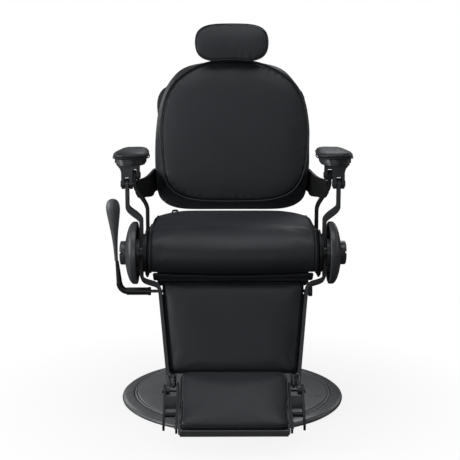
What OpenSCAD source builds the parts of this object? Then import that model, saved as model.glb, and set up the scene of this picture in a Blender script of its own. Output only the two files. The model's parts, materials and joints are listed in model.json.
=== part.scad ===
// Barber chair, front faces -Y, +Z up, origin at the centre of the base on the floor.
// All lengths in millimetres. Right-hand pieces are drawn at +X and mirrored for the left.

/* [Base and lift] */
// Radius of the round floor base
base_r = 361; // [345:1:368]
// Radius of the lift ram
ram_r = 25; // [22:0.5:26]
// Height of the top of the pump housing
pump_top = 276; // [265:1:280]
// Height added under the seat group by the pump's column
rise = 26; // [20:1:30]

/* [Seat] */
// Half width of the seat cushion
seat_hw = 257; // [245:1:257]
// Height of the seat cushion's top above the seat group's datum
seat_top = 567; // [560:1:570]
// Height of the cushion's underside
seat_bottom = 447; // [446:1:450]

/* [Recline linkage] */
// Distance of the link bars' lower part from the middle plane
link_x = 277; // [276.9:0.1:277.1]
// Distance of the armrests and the links' upper part from the middle plane
arm_x = 318; // [314:1:320]
// Height of the two lower pivots above the datum
low_z = 487; // [484:1:488]
// Height of the two armrest pivots above the datum
high_z = 698; // [696:1:702]
// Forward position of the front pivots
front_y = -190; // [-192:1:-188]
// Forward position of the rear pivots
rear_y = 65; // [62:1:68]
// Thickness of the link bars
link_t = 10; // [8:0.5:10]
// Width of the link bars, seen from the side
link_w = 34; // [30:1:36]

/* [Backrest] */
// Lean of the backrest from upright, degrees
lean = 11.5; // [10:0.5:13]
// Thickness of the backrest cushion
back_t = 85; // [75:1:86]

/* [Leg rest] */
// Tilt of the calf pad from upright, degrees
calf_tilt = 25; // [24:0.5:26]
// Tilt of the footrest below level, degrees
foot_tilt = 30; // [28:1:32]

/* [Hidden] */
$fn = 96;

fit = 0.05;          // radial running clearance of every pivot
axle_r = 12;         // lower pivots
pin_r = 6;           // armrest and footrest pivots
foot_y = -395;       // footrest hinge line
foot_z = 121;
foot_front = -157;   // front of the tread, measured from the hinge
lever_y = -100;      // recline lever shaft
lever_z = 348;
ped_y = 98;          // pump pedal hinge line
ped_z = 58;
head_h = 565;        // headrest hinge, measured up the backrest
head_d = 69;         // headrest hinge, measured back from the backrest's front

// centreline to closed strip of thickness t
function nrm(p, i) = let(a = p[max(i-1, 0)], b = p[min(i+1, len(p)-1)], d = b-a, l = norm(d)) [-d[1]/l, d[0]/l];
function strip(p, t) = concat([for (i = [0:len(p)-1]) p[i]+nrm(p, i)*t/2],
                              [for (i = [len(p)-1:-1:0]) p[i]-nrm(p, i)*t/2]);
// smooth S from [x0,z0] to [x1,z1]
function ess(x0, z0, x1, z1, n) = [for (i = [0:n]) let(t = i/n, w = (1-cos(180*t))/2) [x0+(x1-x0)*w, z0+(z1-z0)*t]];
// mirrored outline from half widths [[h, w], ...], bottom to top
function both(p) = concat([for (i = [0:len(p)-1]) [p[i][1], p[i][0]]], [for (i = [len(p)-1:-1:0]) [-p[i][1], p[i][0]]]);

module up() { translate([0, 0, rise]) children(); }
module left() { mirror([1, 0, 0]) children(); }
module legf() { translate([0, front_y, low_z]) rotate([-calf_tilt, 0, 0]) children(); }
module backf() { translate([0, 215, 590]) rotate([-lean, 0, 0]) children(); }
module footf() { translate([0, foot_y, foot_z]) rotate([foot_tilt, 0, 0]) children(); }
// cylinder along X, from x0 to x1, about y, z
module xcyl(r, x0, x1, y, z) { translate([x0, y, z]) rotate([0, 90, 0]) cylinder(r = r, h = x1-x0); }
// revolve [r, x] profile about the X axis through y, z
module xrev(p, y, z) { translate([0, y, z]) rotate([0, 90, 0]) rotate_extrude() polygon(p); }
// outline in [y, z], drawn from x0 to x1
module yz(x0, x1, p) { translate([x0, 0, 0]) rotate([90, 0, 90]) linear_extrude(x1-x0) polygon(p); }
// outline in [x, z], drawn from y0 to y1
module xz(y0, y1, p) { translate([0, y1, 0]) rotate([90, 0, 0]) linear_extrude(y1-y0) polygon(p); }
// flat rounded rectangle block
module rbox(x0, x1, y0, y1, z0, z1, r) {
  translate([x0+r, y0, z0]) cube([x1-x0-2*r, y1-y0, z1-z0]);
  translate([x0, y0+r, z0]) cube([x1-x0, y1-y0-2*r, z1-z0]);
  for (x = [x0+r, x1-r]) for (y = [y0+r, y1-r]) translate([x, y, z0]) cylinder(r = r, h = z1-z0);
}

// ---------------------------------------------------------------- base
module base_plate() { color([0.05, 0.05, 0.06]) cylinder(r = base_r-50, h = 10); }
module base_rim() { color([0.08, 0.08, 0.09]) rotate_extrude() polygon([[base_r-40, 0], [base_r-4, 0], [base_r-1, 2.5], [base_r, 6],
  [base_r-1.2, 9.5], [base_r-5, 12.5], [base_r-12, 15], [base_r-22, 17], [base_r-33, 18.4], [base_r-40, 18.8]]); }
module base_seal_ring() { color([0.02, 0.02, 0.02]) rotate_extrude() polygon([[base_r-50, 0], [base_r-40, 0], [base_r-40, 15.5], [base_r-43, 17], [base_r-47, 17], [base_r-50, 15.5]]); }
module base_cover() { color([0.2, 0.2, 0.2]) difference() {
  rotate_extrude() polygon([[base_r-50, 10], [base_r-50, 19.5], [base_r-51.5, 21], [base_r-56, 22.2], [250, 25.6], [200, 28.8], [150, 31.6], [110, 34], [90, 36.6], [80, 40],
    [77, 40], [86, 34], [110, 30.6], [150, 28.2], [200, 25.4], [250, 22.2], [base_r-54, 18.5], [base_r-54, 10]]);
  translate([-27, 66, 0]) cube([54, 66, 60]); } }
module pump_flange() { color([0.1, 0.1, 0.1]) difference() {
  union() {
    translate([0, 0, 10]) cylinder(r = 110, h = 8);
    for (s = [-1, 1]) translate([s*20-4, ped_y-16, 18]) cube([8, 30, 44]);
    for (s = [-1, 1]) xcyl(14, s*20-4, s*20+4, ped_y-1, ped_z+3);
  }
  translate([0, 0, 9]) cylinder(r = 30, h = 4);
  for (i = [0:5]) rotate([0, 0, 60*i+30]) translate([90, 0, 8]) cylinder(r = 4.5, h = 20);
  xcyl(pin_r, -30, 30, ped_y, ped_z);
} }
module pump_bolts() { color([0.3, 0.3, 0.3]) {
  for (i = [0:5]) rotate([0, 0, 60*i+30]) translate([90, 0, 18]) cylinder(r = 7.5, h = 5.5, $fn = 6);
  for (i = [0:5]) rotate([0, 0, 60*i+30]) translate([90, 0, 10]) cylinder(r = 4.5, h = 8);
  xcyl(pin_r, -28, 28, ped_y, ped_z);
  for (s = [-1, 1]) xcyl(9, s*26.1-2, s*26.1+2, ped_y, ped_z);
} }
module pump_housing() { color([0.08, 0.08, 0.09]) difference() {
  union() { translate([0, 0, 18]) cylinder(r = 52, h = pump_top-18); translate([0, 0, 18]) cylinder(r = 66, h = 10); }
  translate([0, 0, 26]) cylinder(r = ram_r+4, h = 400);
} }
module pump_shroud() { color([0.06, 0.06, 0.07]) difference() {
  rotate_extrude() polygon([[77, 40], [80, 40], [78, 60], [74, 115], [70, 180], [67, 240], [65, pump_top-4], [60, pump_top+6], [52, pump_top+10], [40, pump_top+11], [40, pump_top+8], [51, pump_top+7],
    [58, pump_top+3], [62, pump_top-5], [64, 240], [67, 180], [71, 115], [75, 60]]);
  translate([-27, 40, 20]) cube([54, 80, 75]);
} }
module ram_gland() { color([0.35, 0.35, 0.36]) difference() {
  union() { translate([0, 0, pump_top]) cylinder(r = 39, h = 22); translate([0, 0, pump_top+22]) cylinder(r = 34, h = 8); }
  translate([0, 0, pump_top-1]) cylinder(r = ram_r+fit, h = 60);
} }
module pump_pedal_arm() { color([0.1, 0.1, 0.1]) difference() {
  union() {
    yz(-12, 12, [[ped_y-34, ped_z-9], [ped_y, ped_z-13], [180, ped_z-2], [262, 82], [322, 90], [322, 98], [256, 92], [176, ped_z+12], [ped_y, ped_z+13], [ped_y-34, ped_z+5]]);
    xcyl(15, -14, 14, ped_y, ped_z);
  }
  xcyl(pin_r+fit, -20, 20, ped_y, ped_z);
} }
module pump_pedal_pad() { color([0.05, 0.05, 0.05]) translate([0, 292, 0]) rotate([7.6, 0, 0]) translate([0, 0, 0]) difference() {
  union() { translate([0, 0, 93.4]) rbox(-45, 45, -26, 30, 3, 17, 6); }
  for (i = [-3:3]) translate([i*12-2, -40, 108.4]) cube([4, 90, 5]);
} }
// ---------------------------------------------------------------- ram
module ram_tube() { color([0.6, 0.6, 0.62]) translate([0, 0, 40]) cylinder(r = ram_r, h = 292+rise); }
module ram_head() up() { color([0.1, 0.1, 0.1]) {
  difference() { union() { translate([0, 0, 332]) cylinder(r = 52, h = 12); translate([0, 0, 344]) cylinder(r = 20, h = 52); }
    rotate_extrude() polygon([[17, 388], [21, 388], [21, 391], [17, 391]]); } } }
module ram_retaining_ring() up() { color([0.5, 0.5, 0.5]) rotate_extrude() polygon([[17, 388], [30, 388], [30, 391], [17, 391]]); }
// ---------------------------------------------------------------- seat
module swivel_hub() up() { color([0.08, 0.08, 0.08]) difference() {
  union() { translate([0, 0, 345]) cylinder(r = 44, h = 42); translate([0, 0, 377]) rbox(-123, 123, -95, 95, 0, 9, 20); }
  translate([0, 0, 300]) cylinder(r = 20+fit, h = 120);
} }
module frame_rails() up() { color([0.08, 0.08, 0.08]) for (s = [-1, 1]) translate([s*108-16, -150, 386]) difference() {
  cube([32, 300, 26]); translate([3, -1, 3]) cube([26, 302, 20]); } }
module frame_beams() up() { color([0.08, 0.08, 0.08]) {
  for (y = [-95, 65]) translate([-258, y-14, 412]) difference() { cube([516, 28, 25]); translate([-1, 3, 3]) cube([518, 22, 19]); }
  xz(-178, -174, [[-232, 437], [-232, 392], [-222, 382], [222, 382], [232, 392], [232, 437]]);
} }
module side_plate(s) up() { color([0.07, 0.07, 0.08]) difference() {
  union() {
    yz(258, 264.5, [[front_y, 548], [60, 538], [92, 530], [108, 512], [110, 485], [108, 438], [100, 420], [84, 411], [front_y, 411]]);
    xcyl(70, 258, 264.5, front_y, low_z);
    xcyl(58, 264.5, 271.4, front_y, low_z);
    xcyl(20, 264.5, 271.4, rear_y, low_z);
  }
  xcyl(axle_r, 250, 280, front_y, low_z);
  xcyl(axle_r, 250, 280, rear_y, low_z);
} }
module side_plate_right() { side_plate(); }
module side_plate_left() { left() side_plate(); }
module pivot_axles() up() { color([0.4, 0.4, 0.4]) for (m = [0, 1]) mirror([m, 0, 0]) {
  xcyl(axle_r, 258, 300, front_y, low_z);
  xcyl(axle_r, 258, 284, rear_y, low_z);
  xcyl(17, 282.4, 288, rear_y, low_z);
} }
module side_disc() up() { color([0.09, 0.09, 0.09]) xrev([[axle_r, 282.5], [42, 282.5], [42, 298], [84, 301], [84, 289], [93, 289], [95, 291], [95, 301], [93, 305.5], [88, 310], [80, 314.5], [65, 319.5], [45, 324], [25, 326], [0.01, 326], [0.01, 300], [axle_r, 300]], front_y, low_z); }
module side_disc_right() { side_disc(); }
module side_disc_left() { left() side_disc(); }
module disc_knobs() up() { color([0.06, 0.06, 0.06]) for (m = [0, 1]) mirror([m, 0, 0]) difference() {
  xrev([[0.01, 326], [36, 326], [36, 339], [34, 341.5], [30, 342.5], [0.01, 342.5]], front_y, low_z);
  translate([330, front_y-50, low_z+1]) cube([30, 100, 8]);
} }
module seat_pan() up() { color([0.1, 0.08, 0.05]) translate([0, 0, 437]) rbox(-236, 236, -226, 180, 0, 10, 30); }
module seat_cushion() up() { color([0.12, 0.12, 0.13]) yz(-seat_hw, seat_hw, [[182, seat_bottom], [192, 458], [196, 480], [196, 528], [188, 546], [170, 555], [120, seat_top-1], [-30, seat_top-1], [-190, seat_top], [-216, seat_top-3],
  [-238, 550], [-256, 535], [-268, 514], [-273, 490], [-272, 468], [-264, 452], [-254, seat_bottom]]); }
module seat_valance() up() { color([0.1, 0.1, 0.11]) yz(-237, 237, [[-254, 447], [-247, 436], [-237, 426], [-226, 414], [-218, 406.5], [-206, 408], [-216, 420], [-230, 434], [-240, 447]]); }
module shaft_brackets() up() { color([0.08, 0.08, 0.08]) for (s = [-1, 1]) difference() {
  union() { translate([s*127-3, lever_y-20, lever_z]) cube([6, 40, 64]); xcyl(16, s*127-3, s*127+3, lever_y, lever_z); }
  xcyl(5+fit, s*127-10, s*127+10, lever_y, lever_z);
} }
// ---------------------------------------------------------------- recline lever
module lever_shaft() up() { color([0.3, 0.3, 0.3]) xcyl(5, -262, 238, lever_y, lever_z); }
module shaft_end_cap() up() { color([0.06, 0.06, 0.06]) difference() { xcyl(20.5, 238, 250, lever_y, lever_z); translate([230, lever_y-40, lever_z-60]) cube([40, 80, 46]); } }
module recline_lever() up() { color([0.07, 0.07, 0.07]) difference() {
  union() {
    xcyl(12, -333, -262, lever_y, lever_z);
    xcyl(13.2, -266, -257.5, lever_y, lever_z);
    translate([-329, lever_y, lever_z+27]) rotate([90, 0, 0]) rotate([0, 0, 183]) rotate_extrude(angle = 85) translate([27, 0, 0]) circle(r = 10);
    translate([-355.4, lever_y, lever_z+18]) rotate([0, -5.2, 0]) cylinder(r1 = 9.6, r2 = 5.4, h = 79);
  }
  xcyl(5, -262, -250, lever_y, lever_z);
} }
module lever_grip() up() { color([0.05, 0.05, 0.05]) translate([-364.5, lever_y, lever_z+96.8]) rotate([0, -2.6, 0]) rotate_extrude() polygon([[0, 0], [5.4, 0], [5.8, 20], [7, 45], [9, 70], [12, 95], [15.5, 118], [18.6, 138], [20.8, 153],
  [21.8, 164], [21.4, 174], [19.4, 183], [15.6, 190], [10, 194.5], [4, 196.5], [0, 197]]); }
// ---------------------------------------------------------------- backrest
// the link bar from a lower pivot up to an armrest pivot, at y
function swell(p, t) = let(n = len(p)-1) concat([for (i = [0:n]) p[i]+nrm(p, i)*(link_t+t*sin(180*i/n))/2],
                              [for (i = [n:-1:0]) p[i]-nrm(p, i)*(link_t+t*sin(180*i/n))/2]);
module link_up(y, z1) {
  xz(y-link_w/2, y+link_w/2, strip(concat([[link_x, low_z-4]], ess(link_x, low_z+96, arm_x, z1, 10), [[arm_x, high_z]]), link_t));
  xcyl(link_w/2, arm_x-link_t/2, arm_x+link_t/2, y, high_z);
  xcyl(25, link_x-link_t/2, link_x+link_t/2, y, low_z);
}
module back_arm() up() { color([0.08, 0.08, 0.09]) difference() {
  union() {
    link_up(rear_y, 672);
    intersection() {
      backf() translate([0, 0, -30]) linear_extrude(200) polygon(strip([[312, -168], [306, -134], [296, -90], [286, -45], [279, 5], [275.5, 55], [273.5, 90], [270, 106], [262, 114], [246, 117], [190, 117]], 8));
      yz(150, 330, [[56, 677], [86, 681], [120, 680], [160, 680], [200, 683], [240, 687], [290, 690], [365, 694], [365, 622], [280, 606], [235, 607], [190, 611], [150, 615], [110, 616], [84, 622], [56, 640]]);
    }
  }
  xcyl(axle_r+fit, link_x-10, link_x+10, rear_y, low_z);
  xcyl(pin_r+fit, arm_x-12, arm_x+12, rear_y, high_z);
  // room for the armrest's fork
  xcyl(19, arm_x-18, arm_x-link_t/2, rear_y, high_z);
  xcyl(19, arm_x+link_t/2, arm_x+18, rear_y, high_z);
} }
module back_arm_right() { back_arm(); }
module back_arm_left() { left() back_arm(); }
// half widths of the backrest, by height up the back
back_out = [[-20, 165], [-17, 192], [-10, 216], [0, 233], [14, 245], [40, 254], [100, 261], [180, 263], [260, 259], [330, 249], [374, 237], [405, 222], [431, 205], [454, 183], [468, 161], [478, 135], [484, 101], [486, 60]];
module back_cushion() up() { color([0.12, 0.12, 0.13]) backf() translate([0, back_t, 0]) rotate([90, 0, 0]) linear_extrude(back_t) polygon(both(back_out)); }
module back_board() up() { color([0.12, 0.09, 0.06]) backf() translate([0, 91.5, 0]) rotate([90, 0, 0]) linear_extrude(91.5-back_t)
  polygon(both([[10, 190], [40, 230], [180, 240], [330, 225], [400, 190], [430, 150], [440, 80]])); }
module back_shell() up() { color([0.09, 0.09, 0.1]) backf() translate([0, 111, 0]) rotate([90, 0, 0]) linear_extrude(19.5)
  polygon(both([[6, 150], [9, 190], [20, 222], [44, 244], [80, 252], [140, 256], [295, 257], [322, 260.5], [345, 262.5], [362, 262], [380, 258.5], [396, 251], [409, 240], [419, 223], [425, 202], [427, 172]])); }
module headrest_guide() up() { color([0.08, 0.08, 0.08]) backf() difference() {
  union() { translate([-36, 111, 330]) cube([72, 22, 90]); translate([-50, 111, 322]) cube([100, 5, 106]); }
  translate([-20.3, 115.7, 300]) cube([40.6, 8.6, 160]);
  translate([0, 120, 375]) rotate([-90, 0, 0]) cylinder(r = 5+fit, h = 40);
} }
module guide_knob() up() { color([0.05, 0.05, 0.05]) backf() translate([0, 124.6, 375]) rotate([-90, 0, 0]) { cylinder(r = 5, h = 12); translate([0, 0, 8.9]) cylinder(r = 17, h = 16); } }
// ---------------------------------------------------------------- headrest
module headrest_post() up() { color([0.5, 0.5, 0.52]) backf() difference() {
  union() {
    translate([-20, 116, 250]) cube([40, 8, 330]);
    for (s = [-1, 1]) yz(s*15-5, s*15+5, [[116, 546], [116, 580], [head_d, head_h+14], [head_d-9, head_h+11], [head_d-14, head_h], [head_d-9, head_h-11], [head_d, head_h-14], [96, head_h-14]]);
  }
  xcyl(pin_r, -30, 30, head_d, head_h);
} }
module headrest_hinge_pin() up() { color([0.4, 0.4, 0.4]) backf() { xcyl(pin_r, -24, 24, head_d, head_h); xcyl(10, -24, -20.2, head_d, head_h); xcyl(10, 20.2, 24, head_d, head_h); } }
module headrest_plate() up() { color([0.08, 0.08, 0.08]) backf() difference() {
  union() { translate([-80, 40, 525]) cube([160, 5, 70]); translate([-9.5, 45, head_h-12]) cube([19, head_d-45, 24]); xcyl(12, -9.5, 9.5, head_d, head_h); }
  xcyl(pin_r+fit, -30, 30, head_d, head_h);
} }
module headrest_pad() up() { color([0.12, 0.12, 0.13]) backf() translate([0, 40, 553]) rotate([90, 0, 0]) linear_extrude(84)
  polygon(both([[-60, 44], [-58.5, 66], [-53, 88], [-43, 106], [-28, 118.5], [-10, 125.5], [8, 125.5], [24, 119], [38, 106], [47.5, 88], [52.5, 64], [54.5, 36]])); }
// ---------------------------------------------------------------- armrests
// a fork under the armrest, flaring by a inward and b outward
module fork(y, a, b) { difference() {
  union() {
    xz(y-16, y+16, [[arm_x-16.5, high_z], [arm_x-16.5, 732], [arm_x-16.5-a*0.1, 739], [arm_x-16.5-a*0.3, 745], [arm_x-16.5-a*0.6, 750.5], [arm_x-16.5-a, 756],
      [arm_x+16.5+b, 756], [arm_x+16.5+b*0.6, 750.5], [arm_x+16.5+b*0.3, 745], [arm_x+16.5+b*0.1, 739], [arm_x+16.5, 732], [arm_x+16.5, high_z]]);
    xcyl(16, arm_x-16.5, arm_x+16.5, y, high_z);
  }
  translate([arm_x-7.5, y-30, high_z-30]) cube([15, 60, 50]);
  xcyl(pin_r, arm_x-30, arm_x+30, y, high_z);
} }
// half widths of the armrest, widest near the front, by distance along it
arm_half = [[-249, 9], [-246, 20], [-239, 31], [-228, 40.5], [-212, 47.5], [-190, 50.5], [-160, 50.5], [-110, 47], [-50, 41], [10, 36], [65, 32.5], [95, 29.5], [112, 24], [122, 16], [126, 7]];
module arm_slab(z0, z1, d) { translate([arm_x-10, 0, z0]) linear_extrude(z1-z0) polygon(both([for (p = arm_half) [(p[0]+61)*(1-d/188)-61, p[1]*(1-d/50)]])); }
module arm_base() up() { color([0.08, 0.08, 0.09]) {
  arm_slab(762, 774, 4);
  arm_slab(756, 762, 8);
  fork(front_y, 30, 14); fork(rear_y, 18, 1);
} }
module arm_base_right() { arm_base(); }
module arm_base_left() { left() arm_base(); }
module arm_pad() up() { color([0.12, 0.12, 0.13]) arm_slab(774, 793, 0); }
module arm_pad_right() { arm_pad(); }
module arm_pad_left() { left() arm_pad(); }
module arm_pins() up() { color([0.4, 0.4, 0.4]) for (y = [front_y, rear_y]) { xcyl(pin_r, arm_x-16.5, arm_x+16.5, y, high_z);
  for (s = [-1, 1]) { xcyl(10, arm_x+s*18-1.5, arm_x+s*18+1.5, y, high_z); translate([s > 0 ? link_t/2+0.4 : -7.5, 0, 0]) xcyl(9.5, arm_x, arm_x+7.1-link_t/2, y, high_z); } } }
module arm_pins_right() { arm_pins(); }
module arm_pins_left() { left() arm_pins(); }
// ---------------------------------------------------------------- leg rest
// the leg frame's own axes: x across, -y forward off the pad, -z down the calf
module leg_bar() up() { color([0.08, 0.08, 0.09]) difference() {
  union() {
    link_up(front_y, 632);
    xz(front_y-link_w/2, front_y+link_w/2, swell(ess(link_x, low_z+96, arm_x, 632, 12), 7));
    legf() {
      xz(-13, 27, [for (q = strip([[link_x, -4], [link_x, 66], [link_x-0.7, 73], [link_x-3.5, 79.5], [link_x-8.5, 84.5], [link_x-16, 88], [link_x-27, 91.5], [link_x-39, 95], [229, 99.5], [223, 106.5], [220, 115], [219, 128], [190, 396]], link_t)) [q[0], -q[1]]]);
      yz(185, 194, [[27, -378], [-13, -366], [-24, -388], [-46, -418], [-20, -432], [6, -408], [27, -396]]);
      translate([166, -30, -377]) cube([24, 18, 4]);
    }
    xcyl(15, 185, 194, foot_y, foot_z);
  }
  xcyl(axle_r+fit, link_x-20, link_x+20, front_y, low_z);
  xcyl(pin_r+fit, arm_x-12, arm_x+12, front_y, high_z);
  xcyl(pin_r, 170, 210, foot_y, foot_z);
} }
module leg_bar_right() { leg_bar(); }
module leg_bar_left() { left() leg_bar(); }
function leg_in(s) = 219-link_t/2-0.1-(s-128)*29/268;   // inner face of the leg bars, s down the calf
module leg_cross_bars() up() { color([0.08, 0.08, 0.08]) legf() {
  for (s = [170, 330]) xz(20.2, 26, [[-leg_in(s-20), 20-s], [leg_in(s-20), 20-s], [leg_in(s+20), -20-s], [-leg_in(s+20), -20-s]]);
  for (m = [-1, 1]) xz(20.2, 26, [[m*(leg_in(124)-16), -124], [m*leg_in(124), -124], [m*leg_in(366), -366], [m*(leg_in(366)-16), -366]]);
} }
module calf_board() up() { color([0.12, 0.09, 0.06]) legf() xz(13.2, 20.2, [[-208, -102], [208, -102], [182.6, -356], [-182.6, -356]]); }
module calf_cushion() up() { color([0.12, 0.12, 0.13]) legf() xz(-14, 13, [[-207, -89], [207, -89], [212, -92], [213.8, -99], [213.4, -110], [187.7, -355], [185, -362], [178, -365], [-178, -365], [-185, -362], [-187.7, -355], [-213.4, -110], [-213.8, -99], [-212, -92]]); }
module footrest_hinge_pins() up() { color([0.4, 0.4, 0.4]) for (m = [0, 1]) mirror([m, 0, 0]) { xcyl(pin_r, 160, 203, foot_y, foot_z); xcyl(9.5, 203, 207, foot_y, foot_z); } }
module hinge_springs() up() { color([0.5, 0.5, 0.5]) for (m = [0, 1]) mirror([m, 0, 0]) legf() translate([174.5, -24, -407])
  rotate_extrude() polygon([[0, -4.8], [3.5, -4.8], [3.5, 0], [9, 0], [9, 2], [6.6, 2.6], for (i = [0:5]) each [[6.6, 3.2+i*4.3], [8.6, 3.9+i*4.3], [8.6, 5.9+i*4.3], [6.6, 6.6+i*4.3]], [6.6, 28.8], [8.8, 29], [8.8, 30], [0, 30]]); }
// ---------------------------------------------------------------- footrest
// the footrest's own axes: -y forward and down the tread, +z off the tread
module footrest_plate() up() { color([0.09, 0.09, 0.1]) footf() {
  rbox(-157, 157, foot_front-2, 37, -12, -8, 10);
  translate([-151, foot_front-5.5, -12]) cube([302, 3.7, 24]);
} }
module footrest_pad() up() { color([0.14, 0.14, 0.15]) footf() difference() {
  rbox(-153, 153, foot_front, 38, -8, 31, 18);
  for (s = [-1, 1]) translate([s*154-7, -134, -10]) cube([14, 72, 44]);
} }
module footrest_bracket() up() { color([0.12, 0.12, 0.12]) difference() {
  union() {
    footf() {
      yz(158.5, 164.5, [[18, -14], [18, 12], [8, 18], [-8, 18], [-30, 10], [-140, 4], [-150, -2], [-150, -14]]);
      yz(195.5, 202, [[-14, 10], [-4, 15.5], [6, 14.5], [14, 8], [15.5, 0], [12, -10], [0, -18], [-60, -24], [-108, -24], [-118, -30], [-126, -30], [-122, -16], [-100, -4], [-60, 4]]);
      yz(164.5, 195.5, [[-30, 2], [-31, 8], [-46, 5], [-62, 1], [-68, -5], [-62, -6], [-46, -1]]);
      xcyl(7, 164.5, 195.5, -84, -11);
    }
  }
  xcyl(pin_r+fit, 150, 210, foot_y, foot_z);
} }
module footrest_bracket_right() { footrest_bracket(); }
module footrest_bracket_left() { left() footrest_bracket(); }

base_plate();
base_rim();
base_seal_ring();
base_cover();
pump_flange();
pump_bolts();
pump_housing();
pump_shroud();
ram_gland();
pump_pedal_arm();
pump_pedal_pad();
ram_tube();
ram_head();
ram_retaining_ring();
swivel_hub();
frame_rails();
frame_beams();
side_plate_left();
side_plate_right();
pivot_axles();
side_disc_left();
side_disc_right();
disc_knobs();
seat_pan();
seat_cushion();
seat_valance();
shaft_brackets();
lever_shaft();
shaft_end_cap();
recline_lever();
lever_grip();
back_arm_left();
back_arm_right();
back_board();
back_shell();
back_cushion();
headrest_guide();
guide_knob();
headrest_post();
headrest_hinge_pin();
headrest_plate();
headrest_pad();
arm_base_left();
arm_base_right();
arm_pad_left();
arm_pad_right();
arm_pins_left();
arm_pins_right();
leg_bar_left();
leg_bar_right();
leg_cross_bars();
calf_board();
calf_cushion();
footrest_hinge_pins();
hinge_springs();
footrest_plate();
footrest_pad();
footrest_bracket_left();
footrest_bracket_right();
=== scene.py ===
import json
import math

import bpy
import numpy as np
from mathutils import Matrix, Vector
from mathutils.bvhtree import BVHTree


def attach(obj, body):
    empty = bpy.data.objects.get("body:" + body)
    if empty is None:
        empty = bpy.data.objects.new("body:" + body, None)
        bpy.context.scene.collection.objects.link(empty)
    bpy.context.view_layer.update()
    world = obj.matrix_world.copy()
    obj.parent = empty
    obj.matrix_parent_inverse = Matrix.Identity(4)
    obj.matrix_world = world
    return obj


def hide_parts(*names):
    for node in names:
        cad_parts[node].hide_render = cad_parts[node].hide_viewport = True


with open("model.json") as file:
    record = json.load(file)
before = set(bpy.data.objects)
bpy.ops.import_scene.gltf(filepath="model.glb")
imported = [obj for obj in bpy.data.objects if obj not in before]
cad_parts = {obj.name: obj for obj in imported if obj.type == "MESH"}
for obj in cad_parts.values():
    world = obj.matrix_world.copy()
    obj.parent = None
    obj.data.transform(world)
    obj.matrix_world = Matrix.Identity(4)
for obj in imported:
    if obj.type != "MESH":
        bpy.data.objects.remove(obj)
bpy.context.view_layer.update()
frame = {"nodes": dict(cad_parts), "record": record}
NODES = frame["nodes"]


def rx(deg):
    return Matrix.Rotation(math.radians(deg), 4, "X")


# local frames: the backrest's front plane, the leg rest and the footrest tread
BACK = Matrix.Translation((0, 0.215, 0.616)) @ rx(-11.5)
LEG = Matrix.Translation((0, -0.190, 0.513)) @ rx(-25)
FOOT = Matrix.Translation((0, -0.395, 0.147)) @ rx(30)
WORLD = Matrix.Identity(4)


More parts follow.
